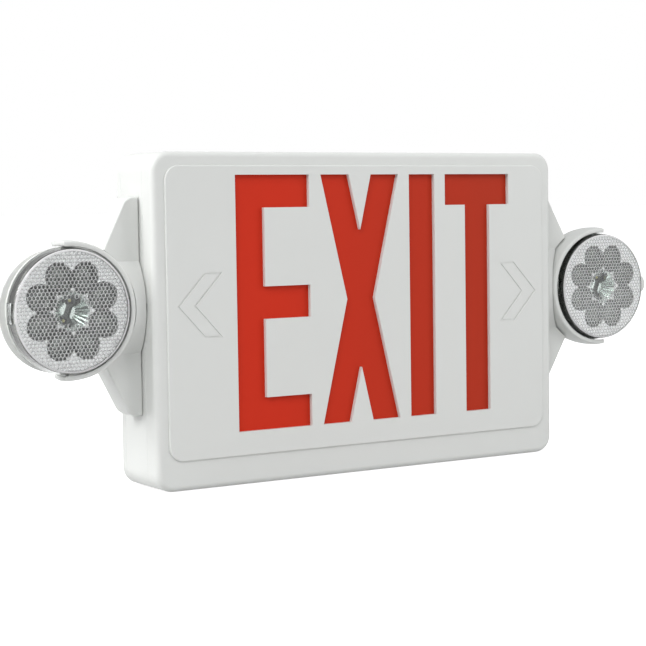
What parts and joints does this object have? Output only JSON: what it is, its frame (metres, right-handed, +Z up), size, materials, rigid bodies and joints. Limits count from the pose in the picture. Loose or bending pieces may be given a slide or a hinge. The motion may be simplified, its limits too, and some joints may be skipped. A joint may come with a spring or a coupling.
{
  "type": "emergency exit light",
  "caption": "Wall-mounted lit exit sign in a shallow moulded case, with an adjustable round lamp head on a wing at each end and a test button underneath.",
  "frame": {"origin": "middle of the case's back face, on the wall plane", "axes": "+X to the sign's right as seen from in front, +Y into the wall, -Y out of the lit face, +Z up"},
  "size_m": [0.4786, 0.048, 0.198],
  "materials": {
    "white_plastic": "satin moulded",
    "red_diffuser": "translucent red sheet",
    "circuit_board": "solder mask",
    "red_led": "clear resin",
    "core_steel": "laminated core",
    "battery_wrap": "shrink wrap over steel cells",
    "plated_steel": "zinc plated",
    "black_plastic": "moulded",
    "button_red": "moulded",
    "indicator": "tinted lens",
    "clear_lens": "clear prismatic polycarbonate",
    "reflector_chrome": "vacuum plated",
    "lamp_board_white": "white solder mask",
    "white_led": "phosphor"
  },
  "bodies": {
    "case": {"front_cover": "white_plastic", "legend_panel": "red_diffuser", "upper_light_board": "circuit_board", "lower_light_board": "circuit_board", "legend_leds": "red_led", "rear_housing": "white_plastic", "back_plate": "white_plastic", "control_board": "circuit_board", "transformer": "core_steel", "battery_pack": "battery_wrap", "battery_strap": "plated_steel", "board_screws": "plated_steel", "plate_screws": "plated_steel", "test_switch": "black_plastic", "status_light": "indicator", "right_wing": "white_plastic", "right_wing_screws": "plated_steel", "left_wing": "white_plastic", "left_wing_screws": "plated_steel"},
    "button": {"test_button": "button_red"},
    "right_arm": {"right_yoke": "white_plastic", "right_pivot_pins": "plated_steel", "right_swivel_washer": "plated_steel", "right_swivel_nut": "black_plastic"},
    "right_lamp": {"right_lamp_shell": "white_plastic", "right_lens": "clear_lens", "right_reflector": "reflector_chrome", "right_lamp_board": "lamp_board_white", "right_lamp_leds": "white_led"},
    "left_arm": {"left_yoke": "white_plastic", "left_pivot_pins": "plated_steel", "left_swivel_washer": "plated_steel", "left_swivel_nut": "black_plastic"},
    "left_lamp": {"left_lamp_shell": "white_plastic", "left_lens": "clear_lens", "left_reflector": "reflector_chrome", "left_lamp_board": "lamp_board_white", "left_lamp_leds": "white_led"}
  },
  "joints": [
    {"name": "test_press", "type": "slide", "parent": "case", "child": "button", "axis": [0, 0, 1], "range_m": [0, 0.0019], "stiffness_N_per_m": 300},
    {"name": "right_swivel", "type": "hinge", "parent": "case", "child": "right_arm", "pos_m": [0.1953, -0.0315, 0.0092], "axis": [1, 0, 0], "range_deg": [-35, 35]},
    {"name": "right_turn", "type": "hinge", "parent": "right_arm", "child": "right_lamp", "pos_m": [0.1953, -0.0315, 0.0092], "axis": [0, 0, 1], "range_deg": [-15, 40]},
    {"name": "left_swivel", "type": "hinge", "parent": "case", "child": "left_arm", "pos_m": [-0.1953, -0.0315, 0.0092], "axis": [1, 0, 0], "range_deg": [-35, 35]},
    {"name": "left_turn", "type": "hinge", "parent": "left_arm", "child": "left_lamp", "pos_m": [-0.1953, -0.0315, 0.0092], "axis": [0, 0, -1], "range_deg": [-15, 40]}
  ]
}
